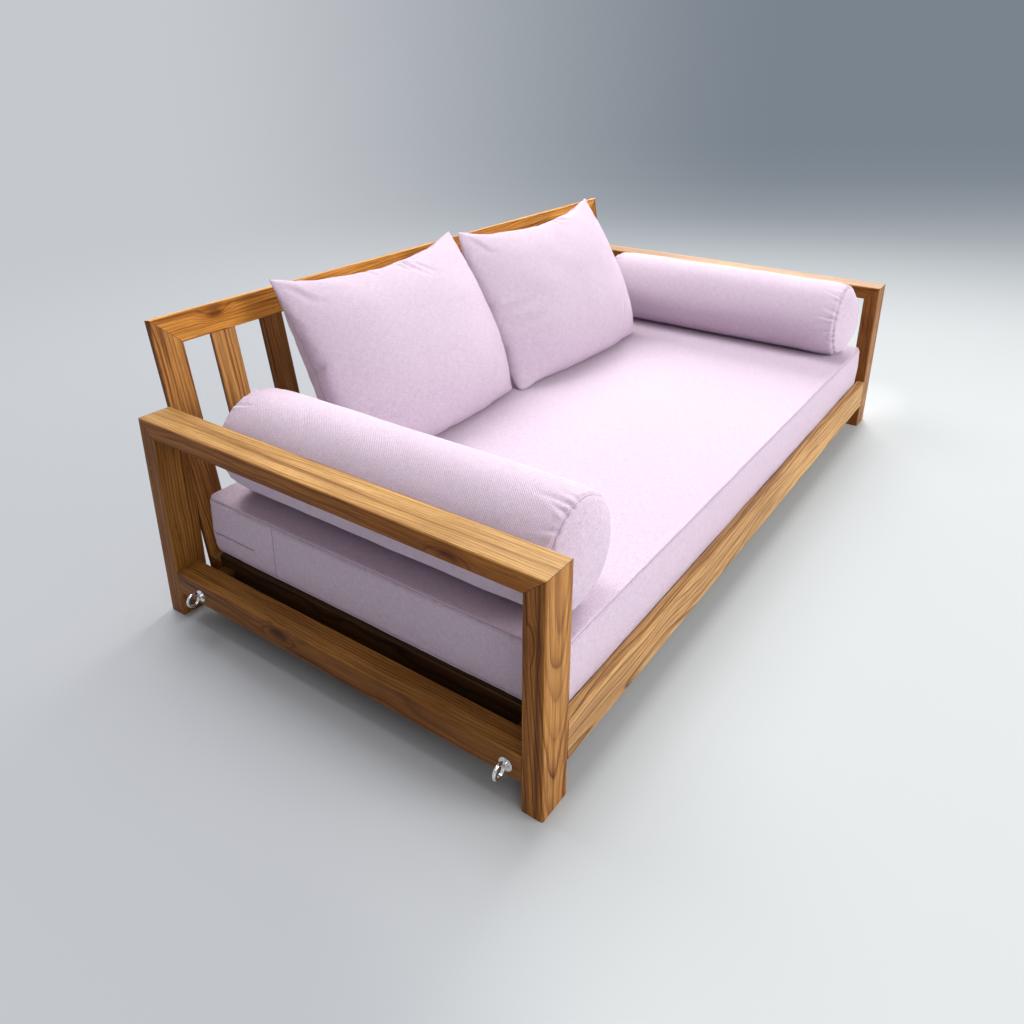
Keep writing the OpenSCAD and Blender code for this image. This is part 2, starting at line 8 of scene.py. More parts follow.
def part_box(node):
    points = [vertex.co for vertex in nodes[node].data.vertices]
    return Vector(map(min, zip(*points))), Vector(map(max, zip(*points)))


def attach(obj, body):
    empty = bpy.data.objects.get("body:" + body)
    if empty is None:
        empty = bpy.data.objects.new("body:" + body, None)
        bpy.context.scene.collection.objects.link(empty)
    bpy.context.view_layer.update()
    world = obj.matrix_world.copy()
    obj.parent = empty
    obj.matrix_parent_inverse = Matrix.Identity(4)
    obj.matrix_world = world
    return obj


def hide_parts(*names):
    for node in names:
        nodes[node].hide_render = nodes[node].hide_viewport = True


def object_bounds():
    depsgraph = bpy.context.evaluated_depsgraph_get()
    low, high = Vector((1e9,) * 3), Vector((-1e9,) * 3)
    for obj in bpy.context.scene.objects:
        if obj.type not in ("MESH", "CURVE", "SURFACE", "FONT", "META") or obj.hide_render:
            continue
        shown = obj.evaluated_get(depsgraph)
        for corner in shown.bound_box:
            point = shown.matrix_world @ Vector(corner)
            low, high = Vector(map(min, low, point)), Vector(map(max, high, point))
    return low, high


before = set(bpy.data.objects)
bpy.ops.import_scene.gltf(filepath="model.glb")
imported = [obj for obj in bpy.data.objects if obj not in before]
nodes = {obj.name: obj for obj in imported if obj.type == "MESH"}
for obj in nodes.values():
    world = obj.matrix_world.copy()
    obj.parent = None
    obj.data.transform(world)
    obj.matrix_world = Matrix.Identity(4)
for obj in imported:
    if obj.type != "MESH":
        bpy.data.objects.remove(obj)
cadLow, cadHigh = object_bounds()
scene = bpy.context.scene
scene.view_settings.view_transform = "Standard"
print("frame loaded with", len(nodes), "nodes")


def boxOf(name):
    low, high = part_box(name)
    return low, high, (low + high) / 2


# shared tools for materials; a socket knows its own node tree

def isSocket(value):
    return hasattr(value, "is_linked")


def treeOf(*values):
    return next(value.id_data for value in values if isSocket(value))


def fill(node, values):
    # each value is a socket to link, or a number, place or colour
    for key, value in values.items():
        socket = node.inputs[key]
        if isSocket(value):
            node.id_data.links.new(value, socket)
        elif hasattr(value, "__len__") and len(value) < len(socket.default_value):
            socket.default_value = (*value, 1.0)
        else:
            socket.default_value = value


def addNode(tree, kind, values=None, name=None, **settings):
    # nodes stand in rows, in the order they are made
    row, column = divmod(len(tree.nodes), 12)
    node = tree.nodes.new("ShaderNode" + kind)
    node.location = (column * 220, row * -320)
    if name:
        node.name = name
    for key, value in settings.items():
        setattr(node, key, value)
    fill(node, values or {})
    return node


def newMaterial(name):
    material = bpy.data.materials.new(name)
    material.use_nodes = True
    tree = material.node_tree
    tree.nodes.clear()
    shader = addNode(tree, "BsdfPrincipled", name="finish")
    addNode(tree, "OutputMaterial", {"Surface": shader.outputs["BSDF"]}, "output")
    return material, tree, shader


def sums(operation, first, second=None):
    # one Math node
    values = {0: first} if second is None else {0: first, 1: second}
    return addNode(treeOf(first, second), "Math", values, operation=operation).outputs[0]


def rampOf(factor, stops):
    ramp = addNode(factor.id_data, "ValToRGB", {"Fac": factor})
    band = ramp.color_ramp
    while len(band.elements) < len(stops):
        band.elements.new(0.5)
    for element, (at, colour) in zip(band.elements, stops):
        element.position = at
        element.color = (*colour, 1.0) if hasattr(colour, "__len__") else (colour, colour, colour, 1.0)
    return ramp.outputs["Color"]


def eased(value, low, high):
    # from nought at low to one at high, with soft ends
    share = sums("DIVIDE", sums("SUBTRACT", value, low), high - low)
    ramp = rampOf(share, [(0.0, 0.0), (1.0, 1.0)])
    ramp.node.color_ramp.interpolation = "EASE"
    return ramp


def mixed(kind, factor, first, second, name=None):
    # one colour Mix node
    values = {0: factor, 6: first, 7: second}
    return addNode(treeOf(*values.values()), "Mix", values, name, data_type="RGBA", blend_type=kind).outputs[2]


def mixedShaders(factor, first, second):
    return addNode(factor.id_data, "MixShader", {0: factor, 1: first, 2: second}).outputs[0]


def partsOf(vector):
    return addNode(vector.id_data, "SeparateXYZ", {0: vector}).outputs


def vectorSum(operation, vector, second=None, name=None):
    values = {0: vector} if second is None else {0: vector, 1: second}
    return addNode(vector.id_data, "VectorMath", values, name, operation=operation).outputs


def mapped(vector, scale):
    return addNode(vector.id_data, "Mapping", {"Vector": vector, "Scale": scale}).outputs["Vector"]


def addRelief(shader, height, strength, depth):
    relief = addNode(shader.id_data, "Bump", {"Height": height, "Strength": strength, "Distance": depth})
    fill(shader, {"Normal": relief.outputs["Normal"]})


# camera, lamps, floor

view = {
    "place": (-1.934, -1.1125, 1.2295), "turn": (67.53, 0.0, -54.90),
    "lens": 29.93, "sensor": 36, "shiftY": -0.114, "clip": (0.05, 90),
}

studio = {
    "sky": (0.92, 0.93, 0.97),
    "skyDim": 0.25, "skyBright": 0.34, "skyFacing": (-0.30, -0.34, 0.89),
    "aim": (0.0, 0.0, 0.2), "lampSize": 3.6,
    # each lamp: place, power, colour
    "lamps": {
        "frontLamp": ((0.5, -5.2, 2.6), 240, (1.0, 0.985, 0.97)),
        "sideLamp": ((4.8, 1.0, 3.6), 440, (1.0, 0.98, 0.96)),
        "topLamp": ((0.0, 3.0, 5.4), 330, (1.0, 0.99, 0.98)),
        "leftLamp": ((-3.0, -3.2, 4.2), 62, (1.0, 0.985, 0.98)),
    },
}

# the backdrop is pale to the right, mid grey to the left, and slate at the far right
backdrop = {
    "size": 400.0, "foot": (-1.93, -1.11), "heading": 54.9, "nearest": 0.3,
    "pale": (0.745, 0.772, 0.782), "left": (0.56, 0.58, 0.615), "slate": (0.195, 0.23, 0.27),
    "fan": (-0.42, 0.32),
    # share of slate by the way ahead, as parts of slateTo
    "slateTo": 12.0, "slateRise": [(0.225, 0.0), (0.313, 0.14), (0.388, 0.38), (0.476, 0.65), (0.54, 0.79),
                                   (0.608, 0.88), (0.703, 0.95), (0.83, 0.98), (1.0, 1.0)],
    "roughness": 0.8, "specular": 0.1, "seenShade": 0.68,
    # how much of the floor's own colour shows beside the piece, by the way from its footprint: this glow lightens
    # the piece's cast shadow, and it fades out towards the footprint, which paints a darker contact shadow along
    # the piece
    "glowNear": 0.68, "paintedShadowSpread": 0.40, "paintedShadowRise": [(0.0, 0.0), (0.28, 0.50), (1.0, 1.0)],
    "paintedShadowFront": 3.0, "glowReach": (1.6, 5.0),
}


def addCamera(look):
    turn = [math.radians(angle) for angle in look["turn"]]
    bpy.ops.object.camera_add(location=look["place"], rotation=turn)
    camera = bpy.context.object
    camera.name = "camera"
    camera.data.lens = look["lens"]
    camera.data.sensor_width = look["sensor"]
    camera.data.shift_y = look["shiftY"]
    camera.data.clip_start, camera.data.clip_end = look["clip"]
    scene.camera = camera


def backdropTone(vector, look, endless=False):
    # colour over the floor, or over the sky beyond it, from a place or a direction
    turn = math.radians(look["heading"])
    x, y, _ = partsOf(vector)
    if not endless:
        x = sums("SUBTRACT", x, look["foot"][0])
        y = sums("SUBTRACT", y, look["foot"][1])
    ahead = sums("ADD", sums("MULTIPLY", x, math.sin(turn)), sums("MULTIPLY", y, math.cos(turn)))
    across = sums("SUBTRACT", sums("MULTIPLY", x, math.cos(turn)), sums("MULTIPLY", y, math.sin(turn)))
    right = eased(sums("DIVIDE", across, sums("MAXIMUM", ahead, look["nearest"])), *look["fan"])
    if endless:
        return mixed("MIX", right, look["left"], look["slate"])
    gone = rampOf(sums("DIVIDE", ahead, look["slateTo"]), look["slateRise"])
    return mixed("MIX", right, look["left"], mixed("MIX", gone, look["pale"], look["slate"]))


def seenRays(tree):
    # 1 for what the camera sees, also in metal
    ray = addNode(tree, "LightPath").outputs
    through = sums("MAXIMUM", ray["Is Glossy Ray"], ray["Is Transmission Ray"])
    return sums("MAXIMUM", ray["Is Camera Ray"], through)


def addSky(look):
    world = bpy.data.worlds.new("studioWorld")
    world.use_nodes = True
    tree = world.node_tree
    where = addNode(tree, "TexCoord").outputs["Generated"]
    # the dome is brightest overhead, on the side of the front lamp
    facing = vectorSum("DOT_PRODUCT", where, look["skyFacing"])["Value"]
    strength = rampOf(facing, [(0.0, look["skyDim"]), (1.0, look["skyBright"])])
    sky = tree.nodes["Background"]
    fill(sky, {"Color": look["sky"], "Strength": strength})
    seen = addNode(tree, "Background", {"Color": backdropTone(where, backdrop, True)})
    both = mixedShaders(seenRays(tree), sky.outputs[0], seen.outputs[0])
    fill(tree.nodes["World Output"], {"Surface": both})
    scene.world = world


def addLamps(look):
    for name, (place, power, colour) in look["lamps"].items():
        aim = Vector(look["aim"]) - Vector(place)
        bpy.ops.object.light_add(type="AREA", location=place, rotation=aim.to_track_quat("-Z", "Y").to_euler())
        lamp = bpy.context.object
        lamp.name = name
        lamp.data.shape = "DISK"
        lamp.data.size = look["lampSize"]
        lamp.data.energy = power
        lamp.data.color = colour


def addFloor(look):
    bpy.ops.mesh.primitive_plane_add(size=look["size"], location=(0, 0, 0))
    floor = bpy.context.object
    floor.name = "studioFloor"
    material, tree, shader = newMaterial("paleFloor")
    where = addNode(tree, "TexCoord").outputs["Object"]
    tone = backdropTone(where, look)
    seenTone = mixed("MULTIPLY", 1.0, tone, (look["seenShade"],) * 3)
    fill(shader, {"Roughness": look["roughness"], "Specular IOR Level": look["specular"],
                  "Base Color": mixed("MIX", seenRays(tree), tone, seenTone)})
    # away from the piece the floor shows its own colour, whatever light reaches it
    glow = addNode(tree, "Emission", {"Color": tone})
    far = eased(vectorSum("LENGTH", where)["Value"], *look["glowReach"])
    # beside the piece, all but under it, some of that colour is there already: a glow that lightens the cast
    # shadow there, and fades out towards the footprint as a painted contact shadow
    parts = partsOf(where)
    outside = addNode(tree, "CombineXYZ")
    for axis, half, weight in (("X", cadHigh[0], 1.0), ("Y", cadHigh[1], look["paintedShadowFront"])):
        past = sums("MAXIMUM", sums("SUBTRACT", sums("ABSOLUTE", parts[axis]), half), 0.0)
        fill(outside, {axis: sums("MULTIPLY", past, weight)})
    gap = vectorSum("LENGTH", outside.outputs["Vector"])["Value"]
    beside = sums("MULTIPLY", rampOf(sums("DIVIDE", gap, look["paintedShadowSpread"]), look["paintedShadowRise"]), look["glowNear"])
    lit = sums("MULTIPLY", sums("SUBTRACT", 1.0, beside), far)
    share = sums("MULTIPLY", sums("ADD", lit, beside), seenRays(tree))
    both = mixedShaders(share, shader.outputs["BSDF"], glow.outputs[0])
    fill(tree.nodes["output"], {"Surface": both})
    floor.data.materials.append(material)


addCamera(view)
addSky(studio)
addLamps(studio)
addFloor(backdrop)
print("studio ready")


# teak: growth rings round a tree axis beside each board, with fibres, pores and streaks

teak = {
    "light": (0.570, 0.278, 0.080), "middle": (0.475, 0.206, 0.050),
    "brown": (0.285, 0.099, 0.021), "dark": (0.090, 0.029, 0.008),
    # what the tone is multiplied by: on upward faces as a painted sheen, on faces that look left or right as
    # painted shade, and on all
    "paintedTopSheen": (1.13, 1.48, 2.40), "ends": (0.71, 0.58, 0.38), "slatSideShade": (0.38, 0.27, 0.19),
    "shade": 0.80,
    "ringWidth": 0.0072, "wobble": 0.018, "ringDrift": 2.2,
    "knotReach": 0.026, "knotPush": 0.022, "knotLength": 0.42,
    # each noise: its scale, how far it is drawn out along the grain, detail, roughness
    "bend": (6.0, 0.45, 2.0, 0.5), "uneven": (20.0, 0.12, 1.0, 0.5),
    "fibre": (460.0, 0.016, 3.0, 0.62), "streak": (64.0, 0.022, 4.0, 0.6),
    "slow": (4.6, 0.40, 3.0, 0.55), "pore": (1150.0, 0.035, 1.0, 0.4), "edgeUneven": (30.0, 0.3, 3.0, 0.6),
    "edgeWearAndHighlight": (1.22, 1.20, 1.16), "edgeWearAndHighlightReach": 0.0042, "edgeWearAndHighlightUneven": 0.003,
    "mitreHalf": 0.0007, "roughness": 0.44, "roughFibre": 0.12, "specular": 0.16,
    "reliefStrength": 0.35, "relief": 0.0003,
    # how much boards differ: the place along the tree in metres, and the saturation
    "along": 4, "saturation": (0.97, 1.06),
    "hue": {"front_rail": (0.511, 0.90)},
}
white = (1.0, 1.0, 1.0)
outOfReach = (9.0, 9.0, 9.0)


def makeTeak(look):
    material, tree, shader = newMaterial("teak")
    where = addNode(tree, "TexCoord").outputs["Object"]
    spot = addNode(tree, "Mapping", {"Vector": where}, "boardPlace").outputs["Vector"]

    def noiseAt(kind):
        scale, stretch, detail, rough = look[kind]
        return addNode(tree, "TexNoise", {"Vector": mapped(spot, (1.0, 1.0, stretch)), "Scale": scale,
                                          "Detail": detail, "Roughness": rough}).outputs

    # a knot pushes the rings aside and is dark at its heart
    knotFrame = addNode(tree, "Mapping", {
        "Vector": spot, "Location": outOfReach, "Scale": (1.0, 1.0, look["knotLength"])}, "boardKnot")
    knotGap = vectorSum("LENGTH", knotFrame.outputs["Vector"])["Value"]
    nearKnot = rampOf(sums("DIVIDE", knotGap, look["knotReach"]), [(0.0, 1.0), (0.35, 0.62), (1.0, 0.0)])

    # the rings wander: a broad bend along the board and a small one across it
    sway = (look["wobble"] * 2, look["wobble"] * 2, 0.0)
    away = addNode(tree, "VectorMath", {0: noiseAt("bend")["Color"], 1: sway, 2: spot}, operation="MULTIPLY_ADD")
    x, y, z = partsOf(away.outputs["Vector"])
    flat = addNode(tree, "CombineXYZ", {"X": x, "Y": y})
    reach = vectorSum("LENGTH", flat.outputs["Vector"])["Value"]
    lean = addNode(tree, "Math", {0: z}, "boardTaper", operation="MULTIPLY")
    radius = sums("ADD", reach, lean.outputs[0])
    radius = sums("ADD", radius, sums("MULTIPLY", nearKnot, look["knotPush"]))
    drift = sums("MULTIPLY", noiseAt("uneven")["Fac"], look["ringDrift"])
    rings = sums("ADD", sums("DIVIDE", radius, look["ringWidth"]), drift)
    phase = sums("FRACT", rings)
    whole = sums("FLOOR", rings)
    chance = addNode(tree, "TexWhiteNoise", {"W": whole}, noise_dimensions="1D").outputs["Value"]
    wood = rampOf(phase, [
        (0.0, look["brown"]), (0.08, look["middle"]), (0.30, look["light"]), (0.60, look["middle"]),
        (0.86, look["brown"]), (0.95, look["dark"]), (1.0, look["brown"])])
    plain = mixed("MIX", sums("MULTIPLY", chance, 0.5), look["light"], look["brown"])
    strength = rampOf(chance, [(0.0, 0.20), (0.6, 0.50), (0.8, 0.9), (1.0, 1.0)])
    shown = addNode(tree, "Math", {0: strength, 1: 1.0}, "boardRings", operation="MULTIPLY")
    base = mixed("MIX", shown.outputs[0], plain, wood)

    # fine fibres, broad streaks, slow changes of tone, short dark pores and the knot's heart
    fibre, streak, slow, pore = [noiseAt(kind)["Fac"] for kind in ("fibre", "streak", "slow", "pore")]
    fibreTone = rampOf(fibre, [(0.32, (0.54, 0.49, 0.43)), (0.5, white), (0.70, (1.26, 1.26, 1.24))])
    streakTone = rampOf(streak, [(0.34, (0.42, 0.30, 0.22)), (0.46, (0.92, 0.90, 0.88)),
                                 (0.72, (1.14, 1.16, 1.16))])
    slowTone = rampOf(slow, [(0.34, (0.70, 0.62, 0.54)), (0.66, (1.14, 1.16, 1.14))])
    poreTone = rampOf(pore, [(0.30, 0.42), (0.40, 1.0)])
    knotTone = rampOf(nearKnot, [(0.0, white), (0.45, (0.80, 0.72, 0.64)), (0.66, (0.34, 0.24, 0.18)),
                                 (1.0, (0.20, 0.13, 0.10))])
    for share, tone in ((0.85, fibreTone), (0.85, streakTone), (0.8, slowTone), (0.6, poreTone), (1.0, knotTone)):
        base = mixed("MULTIPLY", share, base, tone)

    # each board has its own tone; its long edges are paler, partly rub wear and partly a painted highlight on the
    # eased edges
    base = addNode(tree, "HueSaturation", {"Color": base}, "boardTone").outputs["Color"]
    middle = addNode(tree, "Mapping", {"Vector": where}, "boardMiddle")
    mirrored = vectorSum("ABSOLUTE", middle.outputs["Vector"])["Vector"]
    inset = addNode(tree, "VectorMath", {0: outOfReach, 1: mirrored}, "boardHalf", operation="SUBTRACT")
    gaps = partsOf(inset.outputs["Vector"])
    edgeGap = sums("MAXIMUM", gaps["X"], gaps["Y"])
    unevenWearAndHighlight = sums("MULTIPLY", noiseAt("edgeUneven")["Fac"], look["edgeWearAndHighlightUneven"])
    worn = rampOf(sums("DIVIDE", sums("ADD", edgeGap, unevenWearAndHighlight), look["edgeWearAndHighlightReach"]),
                  [(0.25, look["edgeWearAndHighlight"]), (1.0, white)])
    base = mixed("MULTIPLY", 1.0, base, worn)

    # painted light: the faces that look up on the open boards are made paler, a painted sheen, and the faces that
    # look left or right get painted shade
    normal = addNode(tree, "NewGeometry").outputs["Normal"]
    facing = partsOf(normal)
    upward = rampOf(facing["Z"], [(0.55, 0.0), (0.95, 1.0)])
    topSheen = addNode(tree, "Math", {0: upward, 1: 0.0}, "boardTopSheen", operation="MULTIPLY")
    base = mixed("MULTIPLY", topSheen.outputs[0], base, look["paintedTopSheen"])
    sideways = rampOf(sums("ABSOLUTE", facing["X"]), [(0.6, 0.0), (0.9, 1.0)])
    base = mixed("MULTIPLY", sideways, base, look["ends"], "boardSideShade")

    # a fine dark line where two boards meet in a mitre
    for name in ("mitreOne", "mitreTwo"):
        across = vectorSum("DOT_PRODUCT", where, None, name)["Value"]
        gap = addNode(tree, "Math", {0: across, 1: outOfReach[0]}, name + "At", operation="SUBTRACT")
        line = rampOf(sums("DIVIDE", sums("ABSOLUTE", gap.outputs[0]), look["mitreHalf"]),
                      [(0.0, 0.28), (0.6, 0.40), (1.0, 1.0)])
        base = mixed("MULTIPLY", 1.0, base, line)

    shine = rampOf(fibre, [(0.3, look["roughness"] + look["roughFibre"]), (0.7, look["roughness"])])
    fill(shader, {"Base Color": base, "Roughness": shine, "Specular IOR Level": look["specular"]})
    relief = mixed("MULTIPLY", 1.0, fibreTone, poreTone)
    addRelief(shader, relief, look["reliefStrength"], look["relief"])
    return material


teakBase = makeTeak(teak)
backLean = math.radians(10)
grainTurn = {
    "x": (0.0, math.radians(90), 0.0),
    "y": (math.radians(90), 0.0, 0.0),
    "z": (0.0, 0.0, 0.0),
    "slope": (backLean, 0.0, 0.0),
}
# how strongly the painted sheen lightens the upper face of each open board, and how far its rings show
topSheenBoards = {"left_arm_rail": 1.0, "right_arm_rail": 0.3, "back_top_rail": 0.8}
quietBoards = {"left_arm_rail": 0.55, "right_arm_rail": 0.55, "back_top_rail": 0.75}
looseWood = ("bearer_spacers", "screw_plugs", "arm_dowels", "back_dowels")


def cornersOf(spots):
    return [Vector([pick(spot[k] for spot in spots) for k in range(3)]) for pick in (min, max)]


def teakBoard(name, grain, heart, seed, tone, taper, knot=None):
    # heart: where the tree axis lies beside the board, across the grain, in metres
    # knot: its place on the board, across the grain and along it, from the middle
    chance = random.Random(seed)
    material = teakBase.copy()
    material.name = "teak_" + name
    parts = material.node_tree.nodes
    turn = Matrix.Rotation(grainTurn[grain][0], 3, "X") @ Matrix.Rotation(grainTurn[grain][1], 3, "Y")
    board = nodes[name]
    low, high = cornersOf([turn @ vertex.co for vertex in board.data.vertices])
    middle = (low + high) / 2
    shift = Vector((*heart, chance.uniform(-teak["along"], teak["along"])))
    fill(parts["boardPlace"], {"Rotation": grainTurn[grain], "Location": shift - middle})
    fill(parts["boardMiddle"], {"Rotation": grainTurn[grain], "Location": -middle})
    if name not in looseWood:
        fill(parts["boardHalf"], {0: (high - low) / 2})
    fill(parts["boardTaper"], {1: taper})
    if knot:
        place = shift + Vector(knot)
        fill(parts["boardKnot"], {"Location": (-place.x, -place.y, -place.z * teak["knotLength"])})
    fill(parts["boardTone"], {"Saturation": chance.uniform(*teak["saturation"]), "Value": tone * teak["shade"]})
    # the painted sheen on upward faces, for the open boards only
    fill(parts["boardTopSheen"], {1: topSheenBoards.get(name, 0.0)})
    fill(parts["boardRings"], {1: quietBoards.get(name, 1.0)})
    # stiles and slats get a stronger painted shade on the faces that look left or right
    if grain == "slope":
        fill(parts["boardSideShade"], {7: teak["slatSideShade"]})
    if name in teak["hue"]:
        hue, saturation = teak["hue"][name]
        fill(parts["boardTone"], {"Hue": hue, "Saturation": saturation})
    board.data.materials.clear()
    board.data.materials.append(material)
    return parts


# each board: grain, heart, seed, tone, taper and knot
boards = {}
for side, seed, armTone in (("left", 11, 1.08), ("right", 31, 0.85)):
    boards.update({
        side + "_front_post": ("z", (-0.022, 0.052), seed, 0.88, -0.075, (-0.053, -0.003, 0.118)),
        side + "_rear_post": ("z", (0.070, 0.030), seed + 1, 0.80, 0.02),
        side + "_arm_rail": ("y", (0.075, 0.020), seed + 2, armTone, 0.014, (-0.030, 0.004, -0.33)),
        # the side rail's tone is lowered as painted shade, for the shade under the arm
        side + "_side_rail": ("y", (0.095, 0.012), seed + 3, 0.68, 0.006, (-0.028, -0.008, 0.135)),
        # the seat bearer's very low tone is painted shade under the mattress
        side + "_seat_bearer": ("y", (0.06, 0.02), seed + 4, 0.18, 0.01),
        side + "_back_stile": ("slope", (0.06, 0.03), seed + 5, 1.10, 0.02),
    })
boards.update({
    "front_rail": ("x", (0.03, 0.075), 61, 1.32, 0.016),
    # the rear rail, front ledger, centre beam and bearer spacers lie under the mattress; their low tones are
    # painted shade
    "rear_rail": ("x", (0.05, 0.05), 52, 0.5, 0.016),
    "front_ledger": ("x", (0.05, 0.04), 53, 0.3, 0.016),
    "centre_beam": ("x", (0.05, 0.04), 54, 0.5, 0.016),
    "back_top_rail": ("x", (0.05, 0.055), 55, 1.5, 0.02, (0.012, -0.012, 0.79)),
    "back_bottom_rail": ("x", (0.04, 0.05), 56, 0.85, 0.016),
    "bearer_spacers": ("y", (0.05, 0.05), 57, 0.25, 0.016),
    "screw_plugs": ("x", (0.03, 0.03), 58, 0.85, 0.016),
    "arm_dowels": ("y", (0.03, 0.03), 59, 1.2, 0.016),
    "back_dowels": ("x", (0.03, 0.03), 60, 1.2, 0.016),
})
# the seat slats' low tone is painted shade under the mattress
for i in range(1, 11):
    boards["seat_slat_%d" % i] = ("y", (0.05 + 0.006 * (i % 4), 0.05), 70 + i, 0.4, 0.016)
# the second tone is dark as painted shade from the pillow in front; it repeats on every fourth slat
slatTones = (1.05, 0.58, 0.88, 0.94)
for i in range(1, 13):
    boards["back_slat_%d" % i] = ("slope", (0.03 + 0.012 * (i % 4), 0.05 - 0.01 * (i % 3)), 90 + i,
                                  slatTones[(i - 1) % 4], 0.02)
boardParts = {name: teakBoard(name, *board) for name, board in boards.items()}


def mitreLine(name, slot, outer, inner, along):
    # the plane through two points of the joint line and the direction square to them
    normal = (Vector(outer) - Vector(inner)).cross(Vector(along)).normalized()
    fill(boardParts[name][slot], {1: normal})
    fill(boardParts[name][slot + "At"], {1: normal.dot(Vector(outer))})


for side in ("left", "right"):
    postHigh = boxOf(side + "_front_post")[1]
    rearLow = boxOf(side + "_rear_post")[0]
    armLow, armHigh, _ = boxOf(side + "_arm_rail")
    front = (0, armLow.y, armHigh.z), (0, postHigh.y, armLow.z)
    rear = (0, armHigh.y, armHigh.z), (0, rearLow.y, armLow.z)
    for name, slot, ends in (("_front_post", "mitreOne", front), ("_arm_rail", "mitreOne", front),
                             ("_rear_post", "mitreOne", rear), ("_arm_rail", "mitreTwo", rear)):
        mitreLine(side + name, slot, *ends, (1, 0, 0))
slope = Vector((0.0, math.sin(backLean), math.cos(backLean)))
square = Vector((0.0, math.cos(backLean), -math.sin(backLean)))
rises = [vertex.co.dot(slope) for vertex in nodes["back_top_rail"].data.vertices]
for side, slot in (("left", "mitreOne"), ("right", "mitreTwo")):
    stileLow, stileHigh, _ = boxOf(side + "_back_stile")
    outerX, innerX = (stileLow.x, stileHigh.x) if side == "left" else (stileHigh.x, stileLow.x)
    outer = Vector((outerX, 0, 0)) + slope * max(rises)
    inner = Vector((innerX, 0, 0)) + slope * min(rises)
    mitreLine(side + "_back_stile", "mitreOne", outer, inner, square)
    mitreLine("back_top_rail", slot, outer, inner, square)
print("timber finished:", len(boards), "nodes")


# bright steel for the eyes, plain steel for the screws

steelLook = {
    "colour": (0.86, 0.86, 0.87), "dulled": 0.86, "worn": (0.8, 1.6), "scratchScale": 900, "scratchDetail": 4,
    "reliefStrength": 0.08, "relief": 0.0001,
    "eyeSteel": (0.10, ("eye_bolts", "eye_washers", "eye_nuts")),
    "screwSteel": (0.34, ("seat_screws", "frame_screws", "back_screws")),
}


def makeSteel(name, look):
    roughness, owners = look[name]
    colour = look["colour"]
    material, tree, shader = newMaterial(name)
    where = addNode(tree, "TexCoord").outputs["Object"]
    scratches = addNode(tree, "TexNoise", {
        "Vector": where, "Scale": look["scratchScale"], "Detail": look["scratchDetail"]}).outputs["Fac"]
    smooth, rough = look["worn"]
    worn = rampOf(scratches, [(0.35, roughness * smooth), (0.7, roughness * rough)])
    tone = rampOf(scratches, [(0.3, [c * look["dulled"] for c in colour]), (0.65, colour)])
    fill(shader, {"Roughness": worn, "Base Color": tone, "Metallic": 1.0})
    addRelief(shader, scratches, look["reliefStrength"], look["relief"])
    for owner in owners:
        nodes[owner].data.materials.clear()
        nodes[owner].data.materials.append(material)


makeSteel("eyeSteel", steelLook)
makeSteel("screwSteel", steelLook)
print("steel finished")


# lilac cloth, woven along the piece's own cloth map, which is in metres

clothLook = {
    "thread": 0.0025,
    "light": (0.70, 0.580, 0.690), "deep": (0.60, 0.468, 0.589),
    # hollow: how dark the painted shade in the weave's hollows is, and how much of it shows
    "slubs": (60, 480), "hollow": 0.50, "weaveShadeShare": 0.9, "slubRelief": 0.8,
    "roughness": 0.88, "sheen": 0.12, "sheenRoughness": 0.5, "specular": 0.15,
    "reliefStrength": 0.8, "relief": 0.0008,
    "seamHalf": 0.0008, "seamShade": 0.006,
}


def makeCloth(name, look):
    material, tree, shader = newMaterial(name)
    own = addNode(tree, "UVMap", uv_map="cloth").outputs["UV"]
    u, v, _ = partsOf(own)

    def threads(along):
        return sums("SINE", sums("MULTIPLY", along, math.pi / look["thread"]))

    warp, weft = threads(u), threads(v)
    over = sums("GREATER_THAN", sums("MULTIPLY", warp, weft), 0.0)
    height = addNode(tree, "Mix", {0: over, 2: sums("ABSOLUTE", warp), 3: sums("ABSOLUTE", weft)}).outputs[0]

    def slubs(scaleU, scaleV):
        spot = mapped(own, (scaleU, scaleV, 1.0))
        return addNode(tree, "TexNoise", {"Vector": spot, "Scale": 1.0, "Detail": 2.0},
                       noise_dimensions="2D").outputs["Fac"]

    wide, fine = look["slubs"]
    heather = sums("ADD", slubs(wide, fine), slubs(fine, wide))
    heather = sums("MULTIPLY", heather, 0.5)
    tone = rampOf(heather, [(0.36, look["deep"]), (0.62, look["light"])])
    # painted shade in the weave's hollows, between the threads
    depth = rampOf(height, [(0.0, look["hollow"]), (0.6, 1.0)])
    tone = mixed("MULTIPLY", look["weaveShadeShare"], tone, depth)
    # seamGap is the way along the cloth to the nearest seam, in metres
    gap = addNode(tree, "Attribute", attribute_name="seamGap")
    # below nought lie the zip and the end seam, which are darker than the others
    share = sums("DIVIDE", sums("ADD", gap.outputs["Fac"], look["seamHalf"]), look["seamShade"])
    edge = look["seamHalf"] / look["seamShade"]
    # painted shade along each seam: a fine dark line in its groove that fades over a few millimetres; the zip and
    # the end seam are darker still
    seam = rampOf(share, [(0.0, (0.26, 0.21, 0.25)), (edge * 0.5, (0.50, 0.44, 0.49)), (edge, (0.70, 0.64, 0.69)),
                          (edge * 2.2, (0.93, 0.91, 0.93)), (1.0, white)])
    fill(shader, {"Base Color": mixed("MULTIPLY", 1.0, tone, seam), "Roughness": look["roughness"],
                  "Sheen Weight": look["sheen"], "Sheen Roughness": look["sheenRoughness"],
                  "Specular IOR Level": look["specular"]})
    raised = sums("ADD", height, sums("MULTIPLY", heather, look["slubRelief"]))
    addRelief(shader, raised, look["reliefStrength"], look["relief"])
    return material


lilac = makeCloth("lilacCloth", clothLook)

# shared tools for the soft pieces

